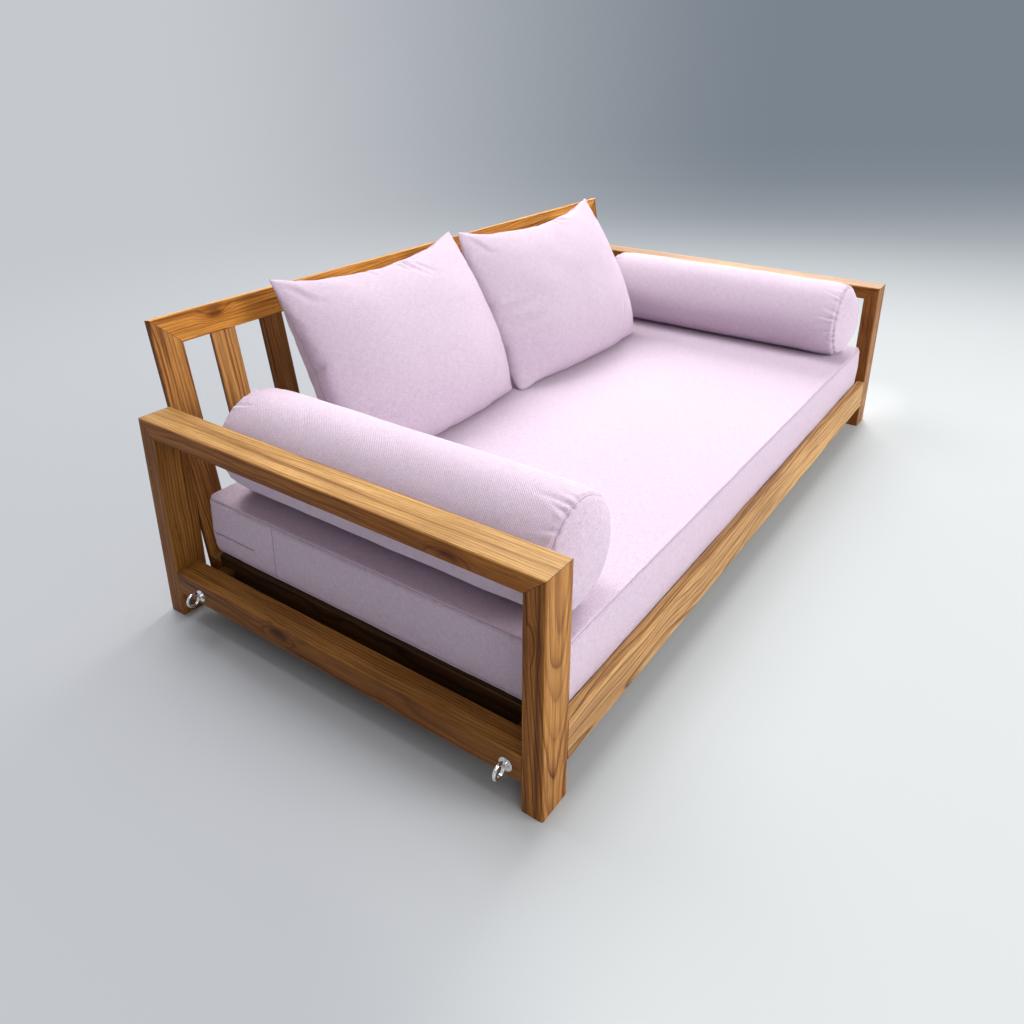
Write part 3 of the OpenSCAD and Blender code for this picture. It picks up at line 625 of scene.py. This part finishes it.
def pieceFromMesh(name, verts, faces, clothSpots, seamGaps):
    # clothSpots: for each face corner, its place on the flat cloth in metres
    # seamGaps: for each point, the way along the cloth to the nearest seam in metres
    mesh = bpy.data.meshes.new(name)
    mesh.from_pydata(verts, [], faces)
    piece = bpy.data.objects.new(name, mesh)
    scene.collection.objects.link(piece)
    layer = mesh.uv_layers.new(name="cloth")
    for loop, spot in zip(layer.data, clothSpots):
        loop.uv = spot
    mesh.attributes.new(name="seamGap", type="FLOAT", domain="POINT")
    mesh.attributes["seamGap"].data.foreach_set("value", seamGaps)
    return piece


def seamGapsOf(piece):
    values = [0.0] * len(piece.data.vertices)
    piece.data.attributes["seamGap"].data.foreach_get("value", values)
    return values


def bump(distance, width):
    return math.exp(-(distance / width) ** 2)


def seamDent(gap, look):
    # how far a seam draws the cloth in, less the lip that stands out beside it
    depth, width = look["dent"]
    lip, lipAt, lipWidth = look["lip"]
    return depth * bump(gap, width) - lip * bump(gap - lipAt, lipWidth)


def softNoise(spot, size):
    return noise.noise(Vector(spot) / size)


def onlyActive(piece):
    bpy.ops.object.select_all(action="DESELECT")
    piece.select_set(True)
    bpy.context.view_layer.objects.active = piece


def swell(piece, look):
    # a short cloth simulation under air pressure; no point moves further than the cap
    rest = [vertex.co.copy() for vertex in piece.data.vertices]
    onlyActive(piece)
    cloth = piece.modifiers.new("cloth", "CLOTH")
    settings = cloth.settings
    settings.quality = 6
    settings.mass = 0.3
    settings.tension_stiffness = settings.compression_stiffness = look["stiffness"]
    settings.shear_stiffness = look["shear"]
    settings.bending_stiffness = look["bending"]
    settings.air_damping = 2
    settings.use_pressure = True
    settings.uniform_pressure_force = look["pressure"]
    settings.effector_weights.gravity = 0
    cloth.point_cache.frame_start = 1
    cloth.point_cache.frame_end = look["frames"]
    for step in range(1, look["frames"] + 1):
        scene.frame_set(step)
    bpy.ops.object.modifier_apply(modifier="cloth")
    scene.frame_set(1)
    for vertex, start in zip(piece.data.vertices, rest):
        moved = vertex.co - start
        if moved.length > look["cap"]:
            vertex.co = start + moved.normalized() * look["cap"]


def refine(piece):
    onlyActive(piece)
    smooth = piece.modifiers.new("refine", "SUBSURF")
    smooth.levels = smooth.render_levels = 1
    smooth.uv_smooth = "PRESERVE_BOUNDARIES"
    bpy.ops.object.modifier_apply(modifier="refine")


def finishCloth(piece, body, cover, core):
    piece.data.materials.append(lilac)
    onlyActive(piece)
    bpy.ops.object.shade_smooth()
    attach(piece, body)
    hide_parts(cover, core)


# throw pillows: two flat panels sewn at the rim, blown up, then leaned and set down

pillow = {
    "width": 0.690, "height": 0.536, "start": 0.020,
    "columns": 72, "rows": 56,
    "pressure": 2.6, "frames": 13, "cap": 0.2, "stiffness": 14, "bending": 0.08, "shear": 3,
    "size": (0.650, 0.205, 0.500), "fill": 0.7,
    # share of an even lens in the thickness, its roundness, and how much thicker it is below
    "lens": 0.92, "lensBlunt": 2.8, "lensPower": 0.76, "belly": 0.34,
    # how far the upper edge is drawn in and the lower edge hangs
    "topIn": 0.030, "hang": 0.030,
    # how far the cloth flattens on the mattress, and the reach of the corner turned out over it
    "rest": 0.012, "earReach": 0.055,
    # small tucks beside the seam, slow unevenness, and the seam's own dent: depth, size, reach
    "tuck": (0.0024, 0.022, 0.022), "uneven": (0.0022, 0.085, 0.05), "dent": (0.0010, 0.0045, 0.0035),
    # each crease: place on the front panel from its middle, direction in degrees, length, width, depth
    "left": {
        "shift": (0.0, -0.011, -0.003), "lean": 26.5, "turn": -0.8, "roll": -0.4, "ear": 0.0,
        "sidesOut": (0.004, 0.036),
        "creases": [
            (0.045, 0.222, -58, 0.034, 0.0060, 0.0042), (0.075, 0.205, -52, 0.044, 0.0070, 0.0048),
            (0.112, 0.188, -40, 0.040, 0.0065, 0.0030), (-0.060, 0.232, -70, 0.022, 0.0060, 0.0026),
            (0.165, -0.185, 52, 0.055, 0.0110, 0.0058), (0.205, -0.150, 64, 0.048, 0.0090, 0.0044),
            (0.110, -0.215, 38, 0.040, 0.0080, 0.0036), (-0.215, -0.160, 24, 0.050, 0.0100, 0.0052),
            (-0.250, -0.115, 12, 0.040, 0.0080, 0.0036), (0.270, 0.170, 48, 0.045, 0.0080, 0.0030),
            (-0.285, 0.205, -42, 0.040, 0.0080, 0.0028),
        ],
    },
    "right": {
        "shift": (0.005, -0.011, -0.003), "lean": 26.0, "turn": -4.8, "roll": -1.5, "ear": 0.024,
        "sidesOut": (0.036, 0.030),
        "creases": [
            (0.115, 0.225, -28, 0.030, 0.0060, 0.0040), (0.075, 0.215, -44, 0.026, 0.0055, 0.0026),
            (-0.265, -0.010, 4, 0.050, 0.0080, 0.0034), (-0.255, -0.060, -3, 0.058, 0.0085, 0.0040),
            (-0.262, -0.105, 6, 0.052, 0.0080, 0.0038), (-0.248, -0.148, -8, 0.050, 0.0085, 0.0042),
            (-0.235, -0.190, 30, 0.046, 0.0080, 0.0050), (0.190, -0.170, 60, 0.046, 0.0100, 0.0040),
            (0.020, -0.225, 82, 0.030, 0.0090, 0.0030), (0.275, 0.165, 46, 0.042, 0.0080, 0.0028),
            (-0.285, 0.200, -44, 0.038, 0.0080, 0.0030),
        ],
    },
}


def pillowPanels(name, look):
    columns, rows = look["columns"], look["rows"]
    width, height = look["width"], look["height"]
    verts, faces, spots, gaps = [], [], [], []
    index = {}
    for sheet in (0, 1):
        for j in range(rows + 1):
            for i in range(columns + 1):
                rim = i in (0, columns) or j in (0, rows)
                if rim and sheet == 1:
                    index[(1, i, j)] = index[(0, i, j)]
                    continue
                x = (i / columns - 0.5) * width
                z = (j / rows - 0.5) * height
                bulge = (1 - (2 * x / width) ** 2) * (1 - (2 * z / height) ** 2)
                y = (-1 if sheet == 0 else 1) * look["start"] * max(0.0, bulge) ** 0.5
                index[(sheet, i, j)] = len(verts)
                verts.append((x, y, z))
                gaps.append(min(width / 2 - abs(x), height / 2 - abs(z)))
    for sheet in (0, 1):
        for j in range(rows):
            for i in range(columns):
                ring = [(i, j), (i + 1, j), (i + 1, j + 1), (i, j + 1)]
                if sheet == 1:
                    ring.reverse()
                faces.append([index[(sheet, a, b)] for a, b in ring])
                spots += [(a / columns * width + sheet, b / rows * height) for a, b in ring]
    return pieceFromMesh(name, verts, faces, spots, gaps)


def panelSpots(piece, width, height):
    # each point's place on its flat panel, from the panel's middle, and which panel it is
    spots = {}
    layer = piece.data.uv_layers["cloth"].data
    for loop in piece.data.loops:
        u, v = layer[loop.index].uv
        back = u > width + 0.001
        spots.setdefault(loop.vertex_index, (u - (1 if back else 0) - width / 2, v - height / 2, back))
    return spots


def roundPillow(piece, look, own):
    # towards a lens, with the edges drawn in between the corners
    blunt = look["lensBlunt"]
    for index, (across, up, back) in panelSpots(piece, look["width"], look["height"]).items():
        spot = piece.data.vertices[index].co
        x = max(-1.0, min(1.0, 2 * across / look["width"]))
        z = max(-1.0, min(1.0, 2 * up / look["height"]))
        lens = ((1 - abs(x) ** blunt) * (1 - abs(z) ** blunt)) ** look["lensPower"]
        lens *= look["size"][1] / 2 * (1 if back else -1)
        lens *= 1 - look["belly"] * z
        spot.y += (lens - spot.y) * look["lens"]
        if z > 0:
            spot.z -= look["topIn"] * (1 - x * x) * z * abs(z) ** 1.5
        if z < 0:
            spot.z -= look["hang"] * (1 - x * x) * abs(z) ** 1.5
        spot.x += own["sidesOut"][0 if x < 0 else 1] * (1 - z * z) * x * abs(x) ** 1.5


def creaseDepth(side, up, creases):
    depthHere = 0.0
    for place, rise, angle, length, width, depth in creases:
        dx, dz = side - place, up - rise
        turn = math.radians(angle)
        along = dx * math.cos(turn) + dz * math.sin(turn)
        off = -dx * math.sin(turn) + dz * math.cos(turn)
        if abs(along) > length * 2.5 or abs(off) > width * 4:
            continue
        # it winds a little, and a low ridge stands beside its hollow
        off += 0.004 * math.sin(along / length * 2.2)
        fold = bump(off, 1.25 * width) - 0.5 * bump(off - 2.1 * width, 1.3 * width)
        depthHere += depth * bump(along, length) * fold
    return depthHere


def creasePillow(piece, seed, look, own):
    spots = panelSpots(piece, look["width"], look["height"])
    gaps = seamGapsOf(piece)
    tuckDepth, tuckSize, tuckReach = look["tuck"]
    slowDepth, slowSize, slowReach = look["uneven"]
    dentDepth, dentAt, dentWidth = look["dent"]
    moves = []
    for vertex in piece.data.vertices:
        across, up, back = spots[vertex.index]
        gap = gaps[vertex.index]
        inward = creaseDepth(-across if back else across, up, own["creases"])
        tuck = softNoise((across + seed, up, 2.0 if back else 0.0), tuckSize)
        inward += tuckDepth * tuck * math.exp(-gap / tuckReach) * min(1.0, gap / 0.008)
        slow = softNoise((across + seed, up, 5.0 if back else 3.0), slowSize)
        inward += slowDepth * slow * min(1.0, gap / slowReach)
        inward += dentDepth * bump(gap - dentAt, dentWidth)
        moves.append(vertex.co - vertex.normal * inward)
    for vertex, spot in zip(piece.data.vertices, moves):
        vertex.co = spot


def makePillow(side, seed, look):
    own = look[side]
    piece = pillowPanels(side + "_throw_pillow", look)
    swell(piece, look)
    goal = look["size"]
    low, high = cornersOf([vertex.co for vertex in piece.data.vertices])
    size = high - low
    print(piece.name, "swollen to", [round(v, 3) for v in size])
    for vertex in piece.data.vertices:
        vertex.co = Vector([vertex.co[k] * goal[k] / size[k] for k in range(3)])
    refine(piece)
    roundPillow(piece, look, own)
    creasePillow(piece, seed, look, own)
    low, high, centre = boxOf(side + "_pillow_cover")
    place = Matrix.Translation(centre + Vector(own["shift"]))
    for key, axis, way in (("turn", "Z", 1), ("lean", "X", -1), ("roll", "Y", 1)):
        place = place @ Matrix.Rotation(math.radians(way * own[key]), 4, axis)
    rest = look["rest"]
    for vertex in piece.data.vertices:
        corner = Vector((vertex.co.x + goal[0] / 2, vertex.co.z + goal[2] / 2)).length
        spot = place @ vertex.co
        # one lower corner is turned out over the mattress, like an ear
        ear = own["ear"] * bump(corner, look["earReach"])
        spot.x -= ear * 0.4
        spot.y -= ear
        spot.z -= ear * 0.5
        if spot.z < low.z + rest:
            # the cloth flattens where it meets the mattress
            over = low.z + rest - spot.z
            spot.z = low.z + rest * math.exp(-over / rest)
        vertex.co = spot
    finishCloth(piece, side + "_pillow", side + "_pillow_cover", side + "_pillow_insert")


makePillow("left", 3, pillow)
makePillow("right", 5, pillow)
print("pillows ready")


# bolsters: a sewn tube with a round end panel at each end, gathered at the seams

bolster = {
    "around": 132, "seamRadius": 0.111, "seamIn": 0.030, "shoulder": 0.055, "pitch": 0.014,
    "endRings": 9, "shoulderRings": 12,
    # the gathers: how many, depth, least strength, and the spread of their places, reaches, slants and widths
    "puckers": 24, "puckerDepth": 0.0066, "weakest": 0.10,
    "scatter": 0.4, "reach": (0.008, 0.026), "slant": 0.3, "gatherWidth": (0.0034, 0.0062),
    # how far round the rear end's gathers are turned, and their strength and reach on the end panels
    "rearTurn": 1.3, "onPanel": (0.5, 0.007),
    "dent": (0.0026, 0.0030), "lip": (0.0012, 0.009, 0.006),
    "pressure": 3.0, "frames": 9, "cap": 0.006, "stiffness": 20, "bending": 1.0, "shear": 5, "fill": 0.9,
    # slow unevenness: depth, size; how far its underside flattens; how far it sits from the middle of its place
    "uneven": (0.0018, 0.05), "rest": 0.010, "shift": (0.0, 0.0, 0.0),
}


def bolsterProfile(radius, length, look):
    # stations from the middle of the front end panel to that of the rear one: place along, radius, panel
    half = []
    for step in range(look["endRings"] + 1):
        share = step / look["endRings"]
        half.append((look["seamIn"] * (1 - share ** 2.5), look["seamRadius"] * step / look["endRings"], "end"))
    for step in range(1, look["shoulderRings"] + 1):
        share = (step / look["shoulderRings"]) ** 1.3
        grow = (radius - look["seamRadius"]) * math.sin(share * math.pi / 2)
        half.append((-look["shoulder"] * share, look["seamRadius"] + grow, "tube"))
    edge = length / 2 - look["seamIn"]
    front = [(edge + rise, r, part) for rise, r, part in half]
    span = edge - look["shoulder"]
    count = max(2, round(2 * span / look["pitch"]))
    middle = [(span - 2 * span * k / count, radius, "tube") for k in range(1, count)]
    back = [(-place, r, part) for place, r, part in reversed(front)]
    return front + middle + back


def bolsterTube(name, radius, length, look):
    stations = bolsterProfile(radius, length, look)
    around = look["around"]
    verts, faces, spots, gaps, rows = [], [], [], [], []
    edge = length / 2 - look["seamIn"]
    for place, r, _ in stations:
        gap = math.hypot(abs(place) - edge, r - look["seamRadius"])
        if r == 0:
            rows.append([len(verts)])
            verts.append((0, -place, 0))
            gaps.append(gap)
            continue
        rows.append(list(range(len(verts), len(verts) + around)))
        gaps += [gap] * around
        for k in range(around):
            angle = 2 * math.pi * k / around
            verts.append((r * math.sin(angle), -place, -r * math.cos(angle)))
    for index in range(len(rows) - 1):
        one, two = rows[index], rows[index + 1]
        flat = stations[index][2] == "end" and stations[index + 1][2] == "end"
        for k in range(around):
            nxt = (k + 1) % around
            ring = [(one, k), (two, k), (two, nxt), (one, nxt)]
            if len(one) == 1:
                ring = [(one, 0), (two, k), (two, nxt)]
            elif len(two) == 1:
                ring = [(one, k), (two, 0), (one, nxt)]
            faces.append([row[j] for row, j in ring])
            for row, j in ring:
                spot = verts[row[j]]
                if flat:
                    spots.append((spot[0] + 2, spot[2]))
                else:
                    wrapped = k + 1 if (j == nxt and nxt == 0) else j
                    spots.append((wrapped / around * 2 * math.pi * radius, spot[1]))
    return pieceFromMesh(name, verts, faces, spots, gaps)


def gatherBolster(piece, seed, edge, look):
    chance = random.Random(seed)
    step = 2 * math.pi / look["puckers"]
    # each gather: its place round the seam, strength, reach, slant, width
    scatter, lean = look["scatter"], look["slant"]
    gathers = [((k + chance.uniform(-scatter, scatter)) * step, chance.uniform(look["weakest"], 1.0),
                chance.uniform(*look["reach"]), chance.uniform(-lean, lean), chance.uniform(*look["gatherWidth"]))
               for k in range(look["puckers"])]
    panelShare, panelReach = look["onPanel"]
    slowDepth, slowSize = look["uneven"]
    gaps = seamGapsOf(piece)
    for vertex in piece.data.vertices:
        x, y, z = vertex.co
        r = math.hypot(x, z)
        if r < 0.02:
            continue
        angle = math.atan2(x, -z)
        gap = gaps[vertex.index]
        onTube = abs(y) < edge
        inward = seamDent(gap, look)
        if gap < 0.07:
            for at, strength, reach, slant, width in gathers:
                turned = angle - at - (look["rearTurn"] if y > 0 else 0)
                away = math.remainder(turned, 2 * math.pi) * r + slant * gap
                if abs(away) > 0.03:
                    continue
                fold = bump(away, width) - 0.6 * bump(away - 1.9 * width, 1.2 * width)
                fade = math.exp(-gap / reach) if onTube else panelShare * math.exp(-gap / panelReach)
                inward += look["puckerDepth"] * strength * fold * fade
        swing = slowDepth * softNoise((x * 0.6 + seed, y * 0.5, z * 0.6), slowSize)
        scale = (r - inward + swing) / r
        vertex.co.x *= scale
        vertex.co.z *= scale


def makeBolster(side, seed, look):
    low, high, centre = boxOf(side + "_bolster_cover")
    length = high.y - low.y
    piece = bolsterTube(side + "_bolster_cushion", (high.z - low.z) / 2, length, look)
    swell(piece, look)
    refine(piece)
    gatherBolster(piece, seed, length / 2 - look["seamIn"], look)
    rest = look["rest"]
    for vertex in piece.data.vertices:
        spot = Vector(vertex.co) + centre + Vector(look["shift"])
        if spot.z < low.z + rest:
            over = low.z + rest - spot.z
            spot.z = low.z + rest - rest * (1 - math.exp(-over / rest))
        vertex.co = spot
    finishCloth(piece, side + "_bolster", side + "_bolster_cover", side + "_bolster_core")


makeBolster("left", 7, bolster)
makeBolster("right", 9, {**bolster, "seamIn": 0.040, "weakest": 0.55, "puckerDepth": 0.0080,
                         "shift": (-0.010, 0.0, -0.008)})
print("bolsters ready")


# mattress: boxed foam under a sewn cover, seams round the top and bottom, a zip at the rear of the left end

mattress = {
    "pitch": 0.016, "sidePitch": 0.012, "corner": 0.025, "shoulder": 0.011, "cornerSteps": 6,
    "dent": (0.0026, 0.0028), "lip": (0.0010, 0.008, 0.005), "groove": 0.0022,
    "crownDrop": 0.006, "crownReach": 0.05, "sideReach": 0.012, "fill": 0.95,
    # on the left end: the closing seam, from the middle, and the zip behind it
    "endSeam": 0.253, "endSeamBow": 0.004, "endSeamDark": 0.0004,
    "zip": (0.309, 0.452), "zipHeight": -0.0203, "zipDark": 0.0012,
    # on the sides: how far they swell between the seams, and their unevenness and small tucks
    "puff": 0.0030, "uneven": (0.0016, 0.06), "tuck": (0.0009, 0.018, 0.010), "topUneven": (0.0012, 0.16),
}


def spread(low, high, pitch):
    count = max(1, round((high - low) / pitch))
    return [low + (high - low) * k / count for k in range(1, count)]


def roundedLines(low, high, radius, steps, pitch, marks=()):
    near = [radius * math.tan(math.pi / 4 * k / steps) for k in range(steps + 1)]
    first = sorted({low + radius - t for t in near})
    last = sorted({high - radius + t for t in near})
    inner = spread(low + radius, high - radius, pitch)
    extra = [m for m in marks if low + radius < m < high - radius]
    return sorted(first + [v for v in inner if all(abs(v - m) > pitch * 0.4 for m in extra)] + extra + last)


def makeMattress(look):
    low, high, centre = boxOf("mattress_cover")
    half = (high - low) / 2
    corner, shoulder, groove = look["corner"], look["shoulder"], look["groove"]
    flatX, flatY = half.x - corner, half.y - corner
    seamZ = half.z - shoulder
    beside = [-2.4 * groove, -groove, 0.0, groove, 2.4 * groove]
    xs = roundedLines(-half.x, half.x, corner, look["cornerSteps"], look["pitch"])
    ys = roundedLines(-half.y, half.y, corner, look["cornerSteps"], look["pitch"],
                      [look["endSeam"] + step for step in beside])
    zipZ = [look["zipHeight"] + step for step in beside]
    sideZ = [-seamZ, -seamZ + groove, -seamZ + 2.4 * groove]
    sideZ += spread(sideZ[-1], zipZ[0], look["sidePitch"]) + zipZ
    sideZ += spread(zipZ[-1], seamZ - 2.4 * groove, look["sidePitch"])
    sideZ += [seamZ - 2.4 * groove, seamZ - groove, seamZ]

    def roundCorner(x, y):
        dx, dy = abs(x) - flatX, abs(y) - flatY
        if dx <= 0 or dy <= 0:
            return x, y
        scale = max(dx, dy) / math.hypot(dx, dy)
        return math.copysign(flatX + dx * scale, x), math.copysign(flatY + dy * scale, y)

    def edgeDistance(x, y):
        dx, dy = abs(x) - flatX, abs(y) - flatY
        if dx > 0 and dy > 0:
            return corner - math.hypot(dx, dy)
        return corner - max(dx, dy)

    index, verts, faces, spots, gaps = {}, [], [], [], []

    def vert(key, spot, gap):
        if key not in index:
            index[key] = len(verts)
            verts.append(spot)
            gaps.append(gap)
        return index[key]

    def sidePoint(i, j, k):
        x, y = roundCorner(xs[i], ys[j])
        z = sideZ[k]
        gap = seamZ - abs(z)
        if i == 0 and abs(y) < half.y - corner / 2:
            start, stop = look["zip"]
            past = max(start - y, y - stop, 0.0)
            gap = min(gap, abs(y - look["endSeam"]) - look["endSeamDark"],
                      math.hypot(past, z - look["zipHeight"]) - look["zipDark"])
            y -= look["endSeamBow"] * math.cos(math.pi / 2 * z / seamZ) * bump(y - look["endSeam"], 0.012)
        return vert(("side", i, j, k), (x, y, z), gap)

    # the sides, all the way round
    lastX, lastY, lastZ = len(xs) - 1, len(ys) - 1, len(sideZ) - 1
    rim = [(i, 0) for i in range(lastX)] + [(lastX, j) for j in range(lastY)]
    rim += [(i, lastY) for i in range(lastX, 0, -1)] + [(0, j) for j in range(lastY, 0, -1)]
    run = 0.0
    for a, b in zip(rim, rim[1:] + rim[:1]):
        one, two = Vector(roundCorner(xs[a[0]], ys[a[1]])), Vector(roundCorner(xs[b[0]], ys[b[1]]))
        end = run + (two - one).length
        for k in range(lastZ):
            faces.append([sidePoint(*a, k), sidePoint(*b, k), sidePoint(*b, k + 1), sidePoint(*a, k + 1)])
            spots += [(run, sideZ[k]), (end, sideZ[k]), (end, sideZ[k + 1]), (run, sideZ[k + 1])]
        run = end

    def panelPoint(i, j, top):
        if i in (0, lastX) or j in (0, lastY):
            return sidePoint(i, j, lastZ if top else 0)
        x, y = roundCorner(xs[i], ys[j])
        e = max(0.0, edgeDistance(x, y))
        drop = shoulder - math.sqrt(max(0.0, shoulder ** 2 - (shoulder - min(e, shoulder)) ** 2))
        if top:
            depth, size = look["topUneven"]
            drop += look["crownDrop"] * math.exp(-e / look["crownReach"]) * min(1.0, e / 0.008)
            drop += depth * (0.5 + softNoise((x, y, 3.0), size))
        z = half.z - drop
        gap = shoulder * (math.pi / 2 - math.asin(max(0.0, 1 - e / shoulder))) + max(0.0, e - shoulder)
        return vert((top, i, j), (x, y, z if top else -z), gap)

    # the top and bottom panels
    for top in (True, False):
        for i in range(lastX):
            for j in range(lastY):
                ring = [(i, j), (i + 1, j), (i + 1, j + 1), (i, j + 1)]
                if not top:
                    ring.reverse()
                face = [panelPoint(a, b, top) for a, b in ring]
                faces.append(face)
                spots += [(verts[point][0], verts[point][1] + (8 if top else 12)) for point in face]
    piece = pieceFromMesh("seat_mattress", verts, faces, spots, gaps)
    refine(piece)
    gaps = seamGapsOf(piece)
    slowDepth, slowSize = look["uneven"]
    tuckDepth, tuckSize, tuckReach = look["tuck"]
    for vertex in piece.data.vertices:
        x, y, z = vertex.co
        if edgeDistance(x, y) <= look["sideReach"]:
            gap = gaps[vertex.index]
            # outward direction in plan
            out = Vector((max(0.0, abs(x) - flatX), max(0.0, abs(y) - flatY)))
            if out.length < 1e-6:
                out = Vector((1, 0)) if half.x - abs(x) < half.y - abs(y) else Vector((0, 1))
            out.normalize()
            puff = look["puff"] * (1 - min(1.0, abs(z) / seamZ) ** 2)
            puff += slowDepth * softNoise((x * 0.5, y * 0.5, z), slowSize)
            puff -= seamDent(gap, look)
            puff += tuckDepth * softNoise((x, y, 0.0), tuckSize) * math.exp(-gap / tuckReach)
            vertex.co.x += math.copysign(out.x, x) * puff
            vertex.co.y += math.copysign(out.y, y) * puff
        vertex.co = Vector(vertex.co) + centre
    finishCloth(piece, "mattress", "mattress_cover", "mattress_core")


makeMattress(mattress)
print("mattress ready")
